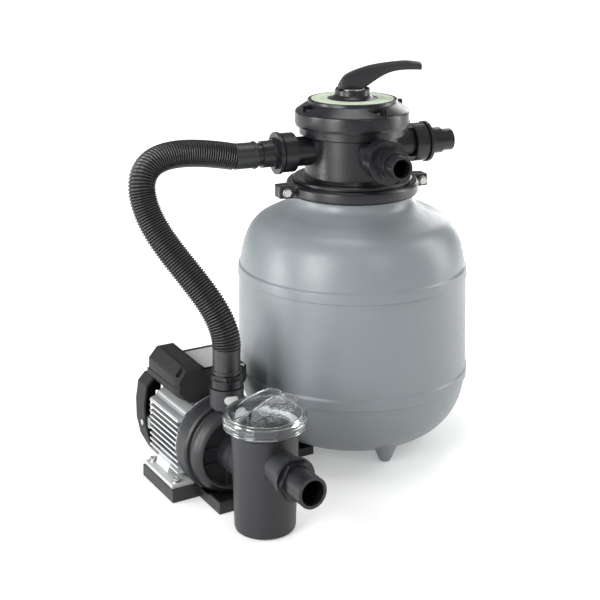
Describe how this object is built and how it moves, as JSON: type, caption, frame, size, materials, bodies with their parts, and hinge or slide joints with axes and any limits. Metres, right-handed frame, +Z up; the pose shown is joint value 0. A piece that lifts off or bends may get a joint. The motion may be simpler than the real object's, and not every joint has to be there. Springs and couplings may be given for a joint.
{
  "type": "sand filter tank",
  "caption": "Small pool sand filter: moulded tank, top multiport valve in a bolted clamp, corrugated hose and strainer pump on a base plate.",
  "frame": {"origin": "on the floor under the pump's shaft axis, level with the tank's vertical axis, which stands 250.6 mm away on the +X side", "axes": "+Z up; the pump's shaft lies along Y with the strainer and suction nozzle towards -Y; +X runs from the pump towards the tank"},
  "size_m": [0.5111, 0.4888, 0.5462],
  "materials": {
    "tank_plastic": "satin blow-moulded plastic with a fine grain",
    "valve_plastic": "satin black moulded ABS",
    "hose_plastic": "soft black corrugated polyethylene",
    "casing_plastic": "dark grey glass-filled plastic, fine texture",
    "box_plastic": "black moulded plastic, fine texture",
    "motor_flange_paint": "black painted casting",
    "cast_aluminium": "bare die-cast aluminium, satin",
    "stainless_steel": "bright stainless steel",
    "black_steel": "black oxide screws",
    "rubber_seal": "black rubber",
    "white_plastic": "natural white plastic",
    "basket_plastic": "natural white plastic mesh",
    "position_ring": "pale green printed ring with plain sector marks",
    "label_white": "blank printed label",
    "clear_plastic": "clear polished polycarbonate",
    "electrical_steel": "stacked laminations",
    "winding_copper": "varnished copper wire"
  },
  "bodies": {
    "root": {"tank_shell": "tank_plastic", "neck_gasket": "rubber_seal", "clamp_front": "valve_plastic", "clamp_rear": "valve_plastic", "clamp_bolts": "stainless_steel", "clamp_nuts": "stainless_steel", "standpipe": "white_plastic", "lateral_hub": "white_plastic", "laterals": "white_plastic", "air_bleed_screen": "white_plastic", "drain_plug": "valve_plastic", "drain_plug_seal": "rubber_seal", "valve_body": "valve_plastic", "spider_gasket": "rubber_seal", "valve_cover": "valve_plastic", "cover_screws": "black_steel", "cover_oring": "rubber_seal", "position_plate": "position_ring", "valve_nozzles": "valve_plastic", "nozzle_orings": "rubber_seal", "hose": "hose_plastic", "hose_cuff_upper": "hose_plastic", "hose_cuff_lower": "hose_plastic", "base_plate": "casing_plastic", "motor_housing": "cast_aluminium", "foot_bolts": "stainless_steel", "motor_flange": "motor_flange_paint", "rear_end_shield": "cast_aluminium", "stator_core": "electrical_steel", "stator_windings": "winding_copper", "bearings": "stainless_steel", "fan_cover": "box_plastic", "fan_cover_screws": "stainless_steel", "terminal_box": "box_plastic", "terminal_box_lid": "box_plastic", "terminal_box_screws": "stainless_steel", "rating_plate": "label_white", "capacitor": "white_plastic", "cable_grommet": "rubber_seal", "pump_casing": "casing_plastic", "casing_screws": "stainless_steel", "casing_oring": "rubber_seal", "shaft_seal": "rubber_seal", "discharge_nozzle": "valve_plastic", "inspection_sticker": "label_white", "strainer_pot": "casing_plastic", "suction_nozzle": "valve_plastic"},
    "selector": {"slip_washers": "white_plastic", "rotor_spring": "stainless_steel"},
    "rotor": {"valve_rotor": "white_plastic", "stem_oring": "rubber_seal", "handle_pin": "stainless_steel"},
    "handle": {"handle": "valve_plastic"},
    "motor_rotor": {"motor_shaft": "stainless_steel", "rotor_core": "electrical_steel", "fan": "casing_plastic", "impeller": "casing_plastic"},
    "basket": {"strainer_basket": "basket_plastic"},
    "lid_seal": {"lid_oring": "rubber_seal"},
    "lid": {"strainer_lid": "clear_plastic"}
  },
  "joints": [
    {"name": "valve_turn", "type": "hinge", "parent": "root", "child": "selector", "pos_m": [0.2506, 0, 0.45], "axis": [0, 0, 1], "continuous": true},
    {"name": "rotor_lift", "type": "slide", "parent": "selector", "child": "rotor", "axis": [0, 0, 1], "range_m": [0, 0.0035], "deforming": ["rotor_spring"]},
    {"name": "handle_tilt", "type": "hinge", "parent": "rotor", "child": "handle", "pos_m": [0.2506, 0, 0.5106], "axis": [0.5664, 0.8241, 0], "range_deg": [0, 20]},
    {"name": "motor_spin", "type": "hinge", "parent": "root", "child": "motor_rotor", "pos_m": [0, 0, 0.063], "axis": [0, 1, 0], "continuous": true},
    {"name": "basket_lift", "type": "slide", "parent": "root", "child": "basket", "axis": [0, 0, 1], "range_m": [0, 0.12]},
    {"name": "lid_lift", "type": "slide", "parent": "basket", "child": "lid_seal", "axis": [0, 0, 1], "range_m": [0, 0.0161]},
    {"name": "lid_turn", "type": "hinge", "parent": "lid_seal", "child": "lid", "pos_m": [0, -0.1896, 0.14], "axis": [0, 0, 1], "range_deg": [0, 360]}
  ],
  "couplings": [
    {"joint": "rotor_lift", "follows": "handle_tilt", "m_per_rad": 0.00974},
    {"joint": "lid_lift", "follows": "lid_turn", "m_per_rad": 0.0025465}
  ]
}
